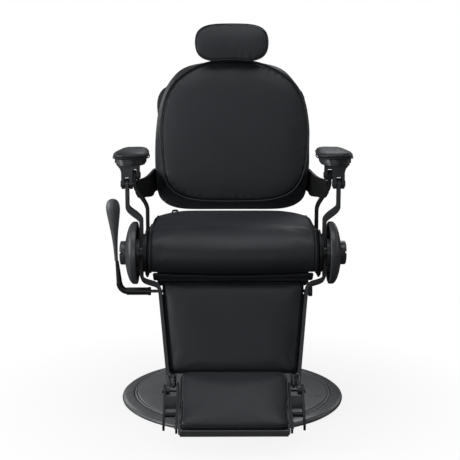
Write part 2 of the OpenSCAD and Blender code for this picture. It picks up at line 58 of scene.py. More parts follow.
# ------------------------------------------------------------------ materials
class Mat:
    """A small helper that builds one procedural material."""

    def __init__(self, name):
        self.m = bpy.data.materials.new(name)
        self.m.use_nodes = True
        self.t = self.m.node_tree
        self.t.nodes.clear()
        self.out = self.t.nodes.new("ShaderNodeOutputMaterial")
        self.b = self.t.nodes.new("ShaderNodeBsdfPrincipled")
        self.t.links.new(self.b.outputs[0], self.out.inputs[0])
        self.co = self.t.nodes.new("ShaderNodeTexCoord").outputs["Object"]

    def put(self, socket, value):
        if isinstance(value, bpy.types.NodeSocket):
            self.t.links.new(value, socket)
        else:
            socket.default_value = value

    def set(self, **kw):
        for k, v in kw.items():
            s = self.b.inputs[k.replace("_", " ")]
            if isinstance(v, tuple) and len(v) == 3:
                v = (*v, 1)
            self.put(s, v)
        return self

    def noise(self, scale, detail=4.0, rough=0.5, vec=None, dist=0.0):
        n = self.t.nodes.new("ShaderNodeTexNoise")
        self.put(n.inputs["Vector"], vec or self.co)
        n.inputs["Scale"].default_value = scale
        n.inputs["Detail"].default_value = detail
        n.inputs["Roughness"].default_value = rough
        n.inputs["Distortion"].default_value = dist
        return n.outputs[0]

    def cells(self, scale, kind="F1", vec=None, rand=1.0, smooth=None):
        n = self.t.nodes.new("ShaderNodeTexVoronoi")
        n.feature = kind
        self.put(n.inputs["Vector"], vec or self.co)
        n.inputs["Scale"].default_value = scale
        n.inputs["Randomness"].default_value = rand
        if smooth is not None:
            n.inputs["Smoothness"].default_value = smooth
        return n.outputs["Distance"]

    def stretch(self, x, y, z, spin=(0, 0, 0)):
        n = self.t.nodes.new("ShaderNodeMapping")
        self.put(n.inputs["Vector"], self.co)
        n.inputs["Scale"].default_value = (x, y, z)
        n.inputs["Rotation"].default_value = tuple(math.radians(a) for a in spin)
        return n.outputs[0]

    def warp(self, amount, scale):
        """Object coordinates pushed about by noise."""
        n = self.t.nodes.new("ShaderNodeTexNoise")
        self.put(n.inputs["Vector"], self.co)
        n.inputs["Scale"].default_value = scale
        n.inputs["Detail"].default_value = 2
        a = self.t.nodes.new("ShaderNodeVectorMath")
        a.operation = "SUBTRACT"
        self.put(a.inputs[0], n.outputs["Color"])
        a.inputs[1].default_value = (0.5, 0.5, 0.5)
        b = self.t.nodes.new("ShaderNodeVectorMath")
        b.operation = "SCALE"
        self.put(b.inputs[0], a.outputs[0])
        b.inputs["Scale"].default_value = amount
        c = self.t.nodes.new("ShaderNodeVectorMath")
        c.operation = "ADD"
        self.put(c.inputs[0], self.co)
        self.put(c.inputs[1], b.outputs[0])
        return c.outputs[0]

    def remap(self, v, a, b, c, d, clamp=True):
        n = self.t.nodes.new("ShaderNodeMapRange")
        n.clamp = clamp
        self.put(n.inputs["Value"], v)
        for k, x in (("From Min", a), ("From Max", b), ("To Min", c), ("To Max", d)):
            n.inputs[k].default_value = x
        return n.outputs[0]

    def calc(self, op, a, b=0.0):
        n = self.t.nodes.new("ShaderNodeMath")
        n.operation = op
        self.put(n.inputs[0], a)
        self.put(n.inputs[1], b)
        return n.outputs[0]

    def ramp(self, v, *stops):
        n = self.t.nodes.new("ShaderNodeValToRGB")
        self.put(n.inputs[0], v)
        e = n.color_ramp.elements
        while len(e) < len(stops):
            e.new(0.5)
        for el, (p, c) in zip(e, stops):
            el.position = p
            el.color = (*c, 1)
        return n.outputs[0]

    def mix(self, f, a, b):
        n = self.t.nodes.new("ShaderNodeMix")
        n.data_type = "RGBA"
        self.put(n.inputs[0], f)
        for s, v in ((n.inputs[6], a), (n.inputs[7], b)):
            self.put(s, (*v, 1) if isinstance(v, tuple) and len(v) == 3 else v)
        return n.outputs[2]

    def bump(self, height, strength, distance, normal=None):
        n = self.t.nodes.new("ShaderNodeBump")
        n.inputs["Strength"].default_value = strength
        n.inputs["Distance"].default_value = distance
        self.put(n.inputs["Height"], height)
        if normal is not None:
            self.put(n.inputs["Normal"], normal)
        return n.outputs[0]

    def edge(self, radius, lo=0.02, hi=0.25):
        """0 on flats, 1 on worn edges."""
        bev = self.t.nodes.new("ShaderNodeBevel")
        bev.samples = 4
        bev.inputs["Radius"].default_value = radius
        geo = self.t.nodes.new("ShaderNodeNewGeometry")
        dot = self.t.nodes.new("ShaderNodeVectorMath")
        dot.operation = "DOT_PRODUCT"
        self.put(dot.inputs[0], bev.outputs[0])
        self.put(dot.inputs[1], geo.outputs["Normal"])
        k = self.calc("SUBTRACT", 1.0, dot.outputs["Value"])
        return self.remap(k, lo, hi, 0.0, 1.0)

    def pointy(self, lo, hi):
        geo = self.t.nodes.new("ShaderNodeNewGeometry")
        return self.remap(geo.outputs["Pointiness"], lo, hi, 0.0, 1.0)


def leather(name, base, rough=0.43, grain=1.0, slack=1.0):
    m = Mat(name)
    w = m.warp(0.0012, 300)
    pebble = m.cells(560, "SMOOTH_F1", w, 1.0, 0.35)
    lines = m.cells(360, "DISTANCE_TO_EDGE", w)
    crease = m.remap(lines, 0.0, 0.16, 0.0, 1.0)
    fine = m.noise(2600, 3, 0.6)
    pores = m.calc("MULTIPLY", m.remap(m.cells(980, "F1"), 0.0, 0.35, 0.0, 1.0), 0.5)
    height = m.calc("ADD", m.calc("MULTIPLY", crease, 0.9), m.calc("MULTIPLY", pebble, -0.8))
    height = m.calc("ADD", height, m.calc("MULTIPLY", fine, 0.25))
    height = m.calc("ADD", height, pores)
    waves = m.noise(17, 3, 0.5, m.stretch(1, 1, 0.7))
    pulls = m.noise(55, 4, 0.55, m.stretch(1, 0.6, 1.0, (0, 0, 14)), 0.4)
    big = m.bump(waves, 0.22 * slack, 0.0022)
    mid = m.bump(pulls, 0.14 * slack, 0.0008, big)
    normal = m.bump(height, 0.42 * grain, 0.00022, mid)
    patch = m.noise(5.5, 5, 0.6)
    handled = m.noise(1.9, 3, 0.5)
    c = tuple(base)
    tone = m.ramp(m.calc("ADD", m.calc("MULTIPLY", patch, 0.6), m.calc("MULTIPLY", handled, 0.4)),
                  (0.30, tuple(x * 0.86 for x in c)), (0.50, c), (0.72, tuple(x * 1.16 for x in c)))
    # painted shade: gap darkens the grain's recessed crease lines towards 0.45 of the leather colour, standing in for
    # the shade in them; it also raises the roughness there
    gap = m.remap(lines, 0.0, 0.07, 0.55, 0.0)
    tone = m.mix(gap, tone, tuple(x * 0.45 for x in c))
    wear = m.calc("MULTIPLY", m.pointy(0.515, 0.60), m.remap(m.noise(38, 5, 0.65), 0.38, 0.68, 0.15, 1.0))
    tone = m.mix(m.calc("MULTIPLY", wear, 0.55), tone, tuple(min(1, x * 2.3 + 0.006) for x in c))
    r = m.calc("ADD", m.remap(m.noise(9, 4, 0.6), 0.3, 0.7, rough - 0.035, rough + 0.04),
               m.remap(fine, 0.3, 0.7, -0.03, 0.03, False))
    r = m.calc("ADD", r, m.calc("MULTIPLY", gap, 0.22))
    r = m.calc("SUBTRACT", r, m.calc("MULTIPLY", wear, 0.07))
    m.set(Base_Color=tone, Roughness=r, Normal=normal, Sheen_Weight=0.06, Sheen_Roughness=0.45,
          Specular_IOR_Level=0.46, Coat_Weight=0.0)
    m.b.inputs["Sheen Tint"].default_value = (0.75, 0.80, 0.92, 1)
    return m.m


def paint(name, base, rough=0.40, texture=0.0, wear=0.55, coat=0.0, peel=0.12):
    m = Mat(name)
    peels = m.noise(620, 2, 0.4)
    sand = m.noise(1500, 3, 0.7)
    height = m.calc("ADD", m.calc("MULTIPLY", peels, 1.0), m.calc("MULTIPLY", sand, 0.35 + texture * 3))
    normal = m.bump(height, peel + texture, 0.0003)
    tone = m.ramp(m.noise(7, 5, 0.6), (0.32, tuple(x * 0.84 for x in base)), (0.55, base), (0.75, tuple(x * 1.15 for x in base)))
    e = m.calc("MULTIPLY", m.edge(0.0009), m.remap(m.noise(95, 5, 0.7), 0.42, 0.70, 0.0, 1.0))
    tone = m.mix(m.calc("MULTIPLY", e, wear), tone, tuple(min(1.0, x * 2.4 + 0.012) for x in base))
    dust = m.remap(m.noise(26, 6, 0.7), 0.55, 0.85, 0.0, 0.035)
    tone = m.mix(dust, tone, (0.20, 0.195, 0.19))
    r = m.calc("ADD", m.remap(m.noise(13, 5, 0.6), 0.3, 0.7, rough - 0.04, rough + 0.05),
               m.calc("MULTIPLY", m.remap(m.noise(240, 3, 0.6), 0.35, 0.65, -1.0, 1.0, False), 0.02))
    r = m.calc("SUBTRACT", r, m.calc("MULTIPLY", e, 0.10))
    m.set(Base_Color=tone, Roughness=r, Normal=normal, Specular_IOR_Level=0.5, Coat_Weight=coat, Coat_Roughness=0.28)
    return m.m


def metal(name, base, rough, brushed=(1, 1, 1), scratch=0.25, metallic=1.0):
    m = Mat(name)
    streak = m.noise(240, 4, 0.65, m.stretch(*brushed))
    smear = m.noise(11, 5, 0.6)
    fine = m.noise(900, 3, 0.6)
    tone = m.ramp(m.calc("ADD", m.calc("MULTIPLY", streak, 0.6), m.calc("MULTIPLY", smear, 0.4)),
                  (0.30, tuple(x * 0.78 for x in base)), (0.5, base), (0.72, tuple(min(1, x * 1.12) for x in base)))
    e = m.calc("MULTIPLY", m.edge(0.0009), m.remap(m.noise(120, 4, 0.7), 0.38, 0.62, 0.1, 1.0))
    tone = m.mix(m.calc("MULTIPLY", e, 0.5), tone, tuple(min(1, x * 1.8 + 0.05) for x in base))
    r = m.calc("ADD", m.remap(streak, 0.3, 0.7, rough - 0.07, rough + 0.09), m.remap(smear, 0.35, 0.7, -0.03, 0.06, False))
    normal = m.bump(m.calc("ADD", m.calc("MULTIPLY", streak, 1.0), m.calc("MULTIPLY", fine, 0.3)), scratch, 0.00012)
    m.set(Base_Color=tone, Roughness=r, Metallic=metallic, Normal=normal)
    return m.m


def plastic(name, base, rough=0.34):
    m = Mat(name)
    mottling = m.noise(30, 4, 0.6)
    sand = m.noise(1900, 2, 0.6)
    tone = m.ramp(mottling, (0.3, tuple(x * 0.85 for x in base)), (0.55, base), (0.75, tuple(x * 1.2 for x in base)))
    e = m.calc("MULTIPLY", m.edge(0.0012), m.remap(m.noise(80, 4, 0.7), 0.4, 0.6, 0.0, 1.0))
    tone = m.mix(m.calc("MULTIPLY", e, 0.4), tone, tuple(x * 3 + 0.02 for x in base))
    r = m.calc("ADD", m.remap(m.noise(18, 5, 0.6), 0.3, 0.7, rough - 0.05, rough + 0.06),
               m.remap(m.noise(160, 3, 0.7, m.stretch(1, 1, 0.1)), 0.55, 0.75, 0.0, 0.08))
    m.set(Base_Color=tone, Roughness=r, Normal=m.bump(sand, 0.10, 0.0002), Specular_IOR_Level=0.5)
    return m.m


def rubber(name, base):
    m = Mat(name)
    h = m.calc("ADD", m.noise(420, 4, 0.7), m.calc("MULTIPLY", m.cells(700, "F1"), 0.5))
    tone = m.ramp(m.noise(24, 5, 0.65), (0.3, tuple(x * 0.8 for x in base)), (0.6, base), (0.8, tuple(x * 1.6 for x in base)))
    m.set(Base_Color=tone, Roughness=m.remap(m.noise(60, 4, 0.6), 0.3, 0.7, 0.62, 0.80),
          Normal=m.bump(h, 0.3, 0.0003), Specular_IOR_Level=0.35)
    return m.m


def plywood(name):
    m = Mat(name)
    grain = m.noise(60, 6, 0.7, m.stretch(0.25, 4, 4), 0.6)
    ply = m.t.nodes.new("ShaderNodeTexWave")
    ply.inputs["Scale"].default_value = 90
    ply.inputs["Distortion"].default_value = 1.2
    m.put(ply.inputs["Vector"], m.stretch(0.1, 1, 1))
    tone = m.ramp(grain, (0.30, (0.020, 0.015, 0.011)), (0.52, (0.040, 0.030, 0.022)), (0.75, (0.062, 0.048, 0.036)))
    tone = m.mix(m.remap(ply.outputs[1], 0.3, 0.8, 0.0, 0.35), tone, (0.022, 0.016, 0.012))
    m.set(Base_Color=tone, Roughness=m.remap(grain, 0.3, 0.7, 0.55, 0.75), Normal=m.bump(grain, 0.3, 0.0004), Specular_IOR_Level=0.3)
    return m.m


LEATHER = leather("black_leatherette", (0.0222, 0.0232, 0.0268))
# painted shade: the welts use a darker copy of the leatherette (base about 0.6 of the cover's) so the seams read dark;
# it is also rougher, with less grain and no slack
WELT_PAINTED_SHADE = leather("black_leatherette_welt_painted_shade", (0.0135, 0.014, 0.016), 0.52, 0.7, 0.0)
THREAD = Mat("black_thread")
THREAD.set(Base_Color=THREAD.ramp(THREAD.noise(900, 3, 0.6), (0.3, (0.012, 0.012, 0.014)), (0.7, (0.034, 0.034, 0.038))),
           Roughness=THREAD.remap(THREAD.noise(400, 2, 0.5), 0.3, 0.7, 0.48, 0.62),
           Normal=THREAD.bump(THREAD.noise(3000, 2, 0.5, THREAD.stretch(1, 1, 3, (30, 0, 30))), 0.5, 0.0002))
THREAD = THREAD.m
FINISH = {
    "black_frame_paint": paint("satin_black_enamel", (0.017, 0.017, 0.018), 0.34, 0.0, 0.30),
    "black_trim_paint": paint("textured_black_enamel", (0.034, 0.034, 0.036), 0.36, 0.08, 0.28),
    # painted reflection: the base cover's black enamel gets a light grey base colour (0.185), standing in for the
    # studio light it reflects
    "base_plate_paint": paint("spun_dish_enamel_painted_reflection", (0.185, 0.186, 0.192), 0.30, 0.0, 0.2, 0.20, 0.05),
    "cast_steel": paint("painted_casting", (0.030, 0.030, 0.032), 0.60, 0.25, 0.7),
    "steel": metal("blackened_steel", (0.16, 0.16, 0.165), 0.36, (1, 1, 1), 0.3),
    "ram_chrome": metal("polished_chrome", (0.60, 0.60, 0.62), 0.10, (6, 6, 0.2), 0.05),
    "upholstery": LEATHER,
    "board": plywood("plywood"),
    "rubber": rubber("black_rubber", (0.017, 0.017, 0.018)),
    # painted highlight: the black lever plastic gets a grey base colour (0.135) so it reads as bright as its highlights
    "grip_plastic": plastic("satin_black_plastic_painted_highlight", (0.135, 0.135, 0.141)),
}
# painted reflection: the base rim's black enamel gets a grey base colour (0.150), standing in for the studio light it
# reflects
RIM = paint("cast_rim_enamel_painted_reflection", (0.150, 0.150, 0.155), 0.27, 0.10, 0.25)
# painted light: a lighter copy of the black frame enamel (0.058 against 0.017) for the arm bases and leg bars, standing
# in for the light that falls on them
FRAME_ENAMEL_PAINTED_LIGHT = paint("black_enamel_painted_light", (0.058, 0.058, 0.061), 0.30, 0.02, 0.28)
# painted light: a lighter copy of the black frame enamel (0.082) for the side discs and knobs, standing in for the
# light falling on them from the left
DISC_PAINTED_LIGHT = paint("disc_enamel_painted_light", (0.082, 0.082, 0.086), 0.30, 0.02, 0.28)
# painted shade: a darker, rougher copy of the black frame enamel (0.011) for the back arms, side plates, footrest
# brackets, cross bars, frame beams and rails, which sit in shade
FRAME_ENAMEL_PAINTED_SHADE = paint("dull_black_enamel_painted_shade", (0.011, 0.011, 0.0115), 0.52, 0.02, 0.2)
# the rim and seal ring get the grey painted-reflection enamels; the back arms and side plates get the painted-shade
# copy of the frame enamel
SPECIAL = {"base_rim": RIM, "base_seal_ring": FINISH["base_plate_paint"], "back_arm_left": FRAME_ENAMEL_PAINTED_SHADE, "back_arm_right": FRAME_ENAMEL_PAINTED_SHADE,
           "side_plate_left": FRAME_ENAMEL_PAINTED_SHADE, "side_plate_right": FRAME_ENAMEL_PAINTED_SHADE}
# arm bases and leg bars get the painted-light copy of the frame enamel
for n in ("arm_base_left", "arm_base_right", "leg_bar_left", "leg_bar_right"):
    SPECIAL[n] = FRAME_ENAMEL_PAINTED_LIGHT
# footrest brackets, cross bars, frame beams and rails get the painted-shade copy of the frame enamel
for n in ("footrest_bracket_left", "footrest_bracket_right", "leg_cross_bars", "frame_beams", "frame_rails"):
    SPECIAL[n] = FRAME_ENAMEL_PAINTED_SHADE
# side discs and knobs get the painted-light copy of the frame enamel
for n in ("side_disc_left", "side_disc_right", "disc_knobs"):
    SPECIAL[n] = DISC_PAINTED_LIGHT
SPECIAL["footrest_plate"] = paint("worn_tread_enamel", (0.17, 0.17, 0.175), 0.34, 0.05, 0.5)

# ------------------------------------------------------------------ CAD nodes
SLOT = {s["node"]: s["material_slot"] for s in frame["record"]["subparts"]}
BEVEL = {"base_rim": 0.0, "base_cover": 0.0008, "ram_tube": 0.0, "lever_grip": 0.0, "hinge_springs": 0.0, "side_disc_left": 0.0008,
         "side_disc_right": 0.0008, "arm_base_left": 0.0016, "arm_base_right": 0.0016, "back_shell": 0.006}
for name, o in NODES.items():
    o.data.materials.clear()
    o.data.materials.append(SPECIAL.get(name, FINISH[SLOT[name]]))
    for p in o.data.polygons:
        p.use_smooth = True
        p.material_index = 0
    w = o.modifiers.new("weld", "WELD")
    w.merge_threshold = 0.00002
    width = BEVEL.get(name, 0.0009)
    if width:
        b = o.modifiers.new("edges", "BEVEL")
        b.width = width
        b.segments = 4 if width > 0.003 else 2
        b.limit_method = "ANGLE"
        b.angle_limit = math.radians(38)
        b.use_clamp_overlap = True
        b.harden_normals = False
    n = o.modifiers.new("normals", "WEIGHTED_NORMAL")
    n.weight = 60
    n.keep_sharp = not width


# ------------------------------------------------------------------ mesh tools
def make(name, verts, faces, mat, smooth=True):
    me = bpy.data.meshes.new(name)
    me.from_pydata([tuple(map(float, v)) for v in verts], [], [tuple(map(int, f)) for f in faces])
    me.validate()
    me.update()
    for p in me.polygons:
        p.use_smooth = smooth
    me.materials.append(mat)
    o = bpy.data.objects.new(name, me)
    bpy.context.scene.collection.objects.link(o)
    return o


def curve_loop(pts, step, closed=True):
    """Points every step along a smooth line through pts, 2-D or 3-D."""
    p = np.array(pts, float)
    n = len(p)
    out = []
    segs = n if closed else n - 1
    for i in range(segs):
        a, b = p[i], p[(i + 1) % n]
        z = p[(i - 1) % n] if closed or i > 0 else a - (b - a)
        c = p[(i + 2) % n] if closed or i < n - 2 else b + (b - a)
        k = max(2, int(np.linalg.norm(b - a) / step * 3))
        d0, d1, d2 = (max(np.linalg.norm(v) ** 0.5, 1e-9) for v in (a - z, b - a, c - b))
        m1 = ((a - z) / d0 - (b - z) / (d0 + d1) + (b - a) / d1) * d1
        m2 = ((b - a) / d1 - (c - a) / (d1 + d2) + (c - b) / d2) * d1
        for t in np.arange(k) / k:
            out.append((2 * t**3 - 3 * t**2 + 1) * a + (t**3 - 2 * t**2 + t) * m1
                       + (-2 * t**3 + 3 * t**2) * b + (t**3 - t**2) * m2)
    if not closed:
        out.append(p[-1])
    return even(np.array(out), step, closed)


def even(p, step=None, closed=True, count=None):
    q = np.vstack([p, p[:1]]) if closed else p
    d = np.concatenate([[0], np.cumsum(np.linalg.norm(np.diff(q, axis=0), axis=1))])
    k = count or max(8, int(round(d[-1] / step)))
    t = np.linspace(0, d[-1], k + 1)
    r = np.stack([np.interp(t, d, q[:, i]) for i in range(q.shape[1])], 1)
    return r[:-1] if closed else r


def mirror_outline(half):
    """Closed outline from [(along, half width)], bottom to top."""
    return [(w, h) for h, w in half] + [(-w, h) for h, w in reversed(half)]


def inset(loop, d):
    """A closed 2-D loop moved inward by d, which is one number or one for each point."""
    t = np.roll(loop, -1, 0) - np.roll(loop, 1, 0)
    t /= np.maximum(np.linalg.norm(t, axis=1, keepdims=True), 1e-9)
    n = np.stack([-t[:, 1], t[:, 0]], 1)
    area = np.sum(loop[:, 0] * np.roll(loop[:, 1], -1) - np.roll(loop[:, 0], -1) * loop[:, 1])
    return loop + n * (np.sign(area) * np.asarray(d, float).reshape(-1, 1) if np.ndim(d) else np.sign(area) * d)


def skin(rings):
    """Closed surface through rings of equal count, with fan caps."""
    k = len(rings[0])
    v = np.vstack(rings + [rings[0].mean(0, keepdims=True), rings[-1].mean(0, keepdims=True)])
    f = []
    for i in range(len(rings) - 1):
        for j in range(k):
            a, b = i * k + j, i * k + (j + 1) % k
            f.append((a, b, b + k, a + k))
    c0, c1, last = len(v) - 2, len(v) - 1, (len(rings) - 1) * k
    for j in range(k):
        f.append((c0, (j + 1) % k, j))
        f.append((c1, last + j, last + (j + 1) % k))
    return v, f


def coords(me):
    a = np.zeros(len(me.vertices) * 3)
    me.vertices.foreach_get("co", a)
    return a.reshape(-1, 3)


def nearest(points, line):
    """Distance from each point to a dense line of points, and the index there."""
    d, idx = np.empty(len(points)), np.empty(len(points), int)
    for i in range(0, len(points), 4000):
        g = ((points[i:i + 4000, None, :] - line[None]) ** 2).sum(2)
        idx[i:i + 4000] = g.argmin(1)
        d[i:i + 4000] = np.sqrt(g.min(1))
    return d, idx


def tube(name, line, r, mat, body, closed=True, sides=10, ends=True, ripple=0.0):
    """A welt or rod along a line of points, in the row frame."""
    p = np.asarray(line, float)
    n = len(p)
    t = (np.roll(p, -1, 0) - np.roll(p, 1, 0)) if closed else np.gradient(p, axis=0)
    t /= np.maximum(np.linalg.norm(t, axis=1, keepdims=True), 1e-9)
    u = np.zeros_like(p)
    ref = np.array([0.0, 0.0, 1.0]) if abs(t[0][2]) < 0.9 else np.array([0.0, 1.0, 0.0])
    cur = ref - t[0] * ref.dot(t[0])
    cur /= np.linalg.norm(cur)
    for i in range(n):
        cur = cur - t[i] * cur.dot(t[i])
        cur /= max(np.linalg.norm(cur), 1e-9)
        u[i] = cur
    w = np.cross(t, u)
    if closed:  # spread the leftover twist over the loop
        back = u[-1] - t[0] * u[-1].dot(t[0])
        back /= max(np.linalg.norm(back), 1e-9)
        twist = math.atan2(back.dot(w[0]), back.dot(u[0]))
        a = -twist * np.arange(n) / n
        u, w = u * np.cos(a)[:, None] + w * np.sin(a)[:, None], w * np.cos(a)[:, None] - u * np.sin(a)[:, None]
    rr = np.full(n, float(r)) if np.ndim(r) == 0 else np.asarray(r, float)
    if ripple:
        rr = rr * (1 + ripple * np.sin(np.arange(n) * 2.1) * np.sin(np.arange(n) * 0.37))
    ang = np.arange(sides) * 2 * math.pi / sides
    v = (p[:, None] + rr[:, None, None] * (np.cos(ang)[None, :, None] * u[:, None] + np.sin(ang)[None, :, None] * w[:, None])).reshape(-1, 3)
    f = []
    for i in range(n if closed else n - 1):
        for j in range(sides):
            a, b = i * sides + j, i * sides + (j + 1) % sides
            c = ((i + 1) % n) * sides
            f.append((a, b, c + (j + 1) % sides, c + j))
    if not closed and ends:
        v = np.vstack([v, p[0] - t[0] * rr[0] * 0.5, p[-1] + t[-1] * rr[-1] * 0.5])
        for j in range(sides):
            f.append((len(v) - 2, (j + 1) % sides, j))
            f.append((len(v) - 1, (n - 1) * sides + j, (n - 1) * sides + (j + 1) % sides))
    o = make(name, v, f, mat)
    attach(o, body)
    return o


def place(m, pts):
    """Local points to the row frame."""
    p = np.asarray(pts, float)
    return p @ np.array(m.to_3x3()).T + np.array(m.translation)


def stitches(name, line, surface, body, lift=0.0004, length=0.0042, gap=0.0017, r=0.0005, closed=True):
    """One row of thread lying on a surface along a line, as a single mesh."""
    dg = bpy.context.evaluated_depsgraph_get()
    tree = BVHTree.FromObject(surface, dg)
    inv = surface.matrix_world.inverted()
    q = curve_loop(line, 0.002, closed) if len(line) < 60 else np.asarray(line)
    q = even(q, (length + gap) / 2, closed)
    n = len(q) // 2 * 2
    v, f = [], []
    for i in range(0, n - 1, 2):
        a, b = Vector(q[i]), Vector(q[(i + 1) % len(q)])
        hit = tree.find_nearest(inv @ ((a + b) / 2))
        if hit[0] is None:
            continue
        nor = hit[1].normalized()
        ha, hb = tree.find_nearest(inv @ a), tree.find_nearest(inv @ b)
        a, b = ha[0] + nor * lift, hb[0] + nor * lift
        d = b - a
        if d.length < 1e-6:
            continue
        d = d.normalized()
        mid = (a + b) / 2
        side = d.cross(nor).normalized()
        base = len(v)
        for s, k in ((-0.5, 0.35), (-0.38, 0.95), (0.38, 0.95), (0.5, 0.35)):
            c = mid + d * (s * length) - nor * (r * 0.9 if abs(s) == 0.5 else 0)
            for j in range(6):
                g = j * math.pi / 3
                v.append(c + (side * math.cos(g) + nor * math.sin(g)) * r * k)
        for ring in range(3):
            for j in range(6):
                p0, p1 = base + ring * 6 + j, base + ring * 6 + (j + 1) % 6
                f.append((p0, p1, p1 + 6, p0 + 6))
        f.append(tuple(base + j for j in range(5, -1, -1)))
        f.append(tuple(base + 18 + j for j in range(6)))
    o = make(name, v, f, THREAD)
    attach(o, body)
    return o


# ------------------------------------------------------------------ soft pieces
SOFT = []


def soft(name, node, body, m, rings, voxel, pins, cap, pressure=4.0, shrink=0.0, fill=0.7, grooves=(), weld_r=0.005, after=None, levels=1):
    """Registers a padded piece. pins is a list of 3-D lines and functions that hold points still."""
    v, f = skin([np.asarray(r, float) for r in rings])
    o = make(name + "_start", v, f, LEATHER)
    r = o.modifiers.new("voxels", "REMESH")
    r.mode = "VOXEL"
    r.voxel_size = voxel
    r.adaptivity = 0
    me = bpy.data.meshes.new_from_object(o.evaluated_get(bpy.context.evaluated_depsgraph_get()))
    bpy.data.objects.remove(o)
    o = bpy.data.objects.new(name, me)
    bpy.context.scene.collection.objects.link(o)
    co = coords(me)
    hold = np.zeros(len(co))
    for p in pins:
        if callable(p):
            hold = np.maximum(hold, p(co))
        else:
            d, _ = nearest(co, p)
            hold = np.maximum(hold, np.clip(1.6 - d / weld_r, 0, 1))
    # keep this as the rest shape; the stairs that voxels leave are eased after the cloth run, in inflate
    SOFT.append(dict(o=o, name=name, node=node, body=body, m=m, start=co, hold=hold, cap=cap, pressure=pressure,
                     shrink=shrink, fill=fill, grooves=grooves, after=after, levels=levels))
    return o


def smooth_mesh(me, co, hold, rounds=3, k=0.5):
    e = np.zeros(len(me.edges) * 2, int)
    me.edges.foreach_get("vertices", e)
    e = e.reshape(-1, 2)
    n = len(co)
    cnt = np.bincount(e.ravel(), minlength=n)[:, None]
    for _ in range(rounds):
        s = np.zeros_like(co)
        np.add.at(s, e[:, 0], co[e[:, 1]])
        np.add.at(s, e[:, 1], co[e[:, 0]])
        co = co + (s / np.maximum(cnt, 1) - co) * k * (1 - hold[:, None] * 0.6)
    return co


def inflate():
    for s in SOFT:
        o = s["o"]
        g = o.vertex_groups.new(name="hold")
        for i, h in enumerate(s["hold"]):
            if h > 0:
                g.add([i], float(h), "REPLACE")
        c = o.modifiers.new("cloth", "CLOTH")
        st = c.settings
        st.quality = 6
        st.mass = 0.3
        st.tension_stiffness = st.compression_stiffness = 18
        st.shear_stiffness = 8
        st.bending_stiffness = 1.2
        st.tension_damping = st.compression_damping = 12
        st.air_damping = 3
        st.use_pressure = True
        st.uniform_pressure_force = s["pressure"]
        st.shrink_min = st.shrink_max = s["shrink"]
        st.effector_weights.gravity = 0
        st.vertex_group_mass = "hold"
        st.pin_stiffness = 1
        c.collision_settings.use_collision = False
        c.collision_settings.use_self_collision = False
        c.point_cache.frame_start, c.point_cache.frame_end = 1, 24
    for fr in range(1, 21):
        bpy.context.scene.frame_set(fr)
    dg = bpy.context.evaluated_depsgraph_get()
    for s in SOFT:
        s["end"] = coords(s["o"].evaluated_get(dg).data).copy()
    for s in SOFT:
        s["o"].modifiers.clear()
        s["o"].vertex_groups.clear()
    bpy.context.scene.frame_set(1)
    for s in SOFT:
        me, co = s["o"].data, s["start"]
        end = s.get("end", co)
        d = end - co
        l = np.linalg.norm(d, axis=1, keepdims=True)
        cap = s["cap"]
        d = d * (cap * np.tanh(l / cap) / np.maximum(l, 1e-9))
        co = smooth_mesh(me, co + d, s["hold"], 9)
        me.vertices.foreach_set("co", co.ravel())
        me.update()
        sub = s["o"].modifiers.new("sub", "SUBSURF")
        sub.levels = sub.render_levels = s["levels"]
        new = bpy.data.meshes.new_from_object(s["o"].evaluated_get(bpy.context.evaluated_depsgraph_get()))
        s["o"].modifiers.clear()
        s["o"].data = new
        bpy.data.meshes.remove(me)
        me = new
        me.name = s["name"]
        co = coords(me)
        nor = np.zeros(len(co) * 3)
        me.vertices.foreach_get("normal", nor)
        nor = nor.reshape(-1, 3)
        for line, depth, width, pucker in s["grooves"]:
            dist, idx = nearest(co, line)
            along = idx * 0.002
            co = co - nor * (depth * np.exp(-((dist / width) ** 2)))[:, None]
            if pucker:
                wave = np.sin(along * 2 * math.pi / 0.031 + 2.0 * np.sin(along * 9.0)) * (0.55 + 0.45 * np.sin(along * 17.0 + 1.3))
                co = co + nor * (pucker * wave * np.exp(-(((dist - 0.011) / 0.011) ** 2)))[:, None]
        if s["after"]:
            co = s["after"](co)
        co = place(s["m"], co)
        me.vertices.foreach_set("co", co.ravel())
        me.update()
        me.materials.clear()
        me.materials.append(LEATHER)
        for p in me.polygons:
            p.use_smooth = True
            p.material_index = 0
        if s["node"]:
            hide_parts(s["node"])
        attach(s["o"], s["body"])


def smoothstep(x):
    x = np.clip(x, 0, 1)
    return x * x * (3 - 2 * x)


# ---- seat cushion: a roll-fronted box cushion, profile in (y, z)
SEAT = np.array([(182, 475), (190, 486), (194, 506), (194, 554), (186, 573), (168, 585), (120, 594.8), (40, 597), (-50, 595.5), (-140, 592.5), (-186, 591),
                 (-216, 587), (-238, 574.5), (-255, 559), (-266, 539), (-271, 516), (-270.5, 495), (-267, 480), (-261, 469.5), (-252, 464),
                 (-240, 464.5), (-222, 470), (-200, 475), (-100, 475), (0, 475), (100, 475)], float)
seat_loop = curve_loop(SEAT, 6.0)


def seat_ring(x):
    a = abs(x)
    p = seat_loop.copy()
    if a > 246:
        p = inset(p, {249: 0.7, 252.5: 3.0, 255: 7.0, 256.5: 15.0}[a])
    back = smoothstep((p[:, 0] + 60) / 160)
    up = smoothstep((p[:, 1] - 520) / 65)
    p[:, 1] -= up * (back * 10.0 * np.clip((a - 190) / 57, 0, 1) ** 2.0 + 4.0 * np.clip((a - 205) / 42, 0, 1) ** 2)
    low = smoothstep((505 - p[:, 1]) / 34) * smoothstep((-222 - p[:, 0]) / 24)
    p[:, 1] -= low * 8.5 * (1 - min(1.0, a / 246) ** 2)
    p[:, 0] -= smoothstep((p[:, 0] - 100) / 90) * 9.0 * np.clip((a - 190) / 56, 0, 1) ** 2
    return np.stack([np.full(len(p), x), p[:, 0], p[:, 1]], 1) / 1000


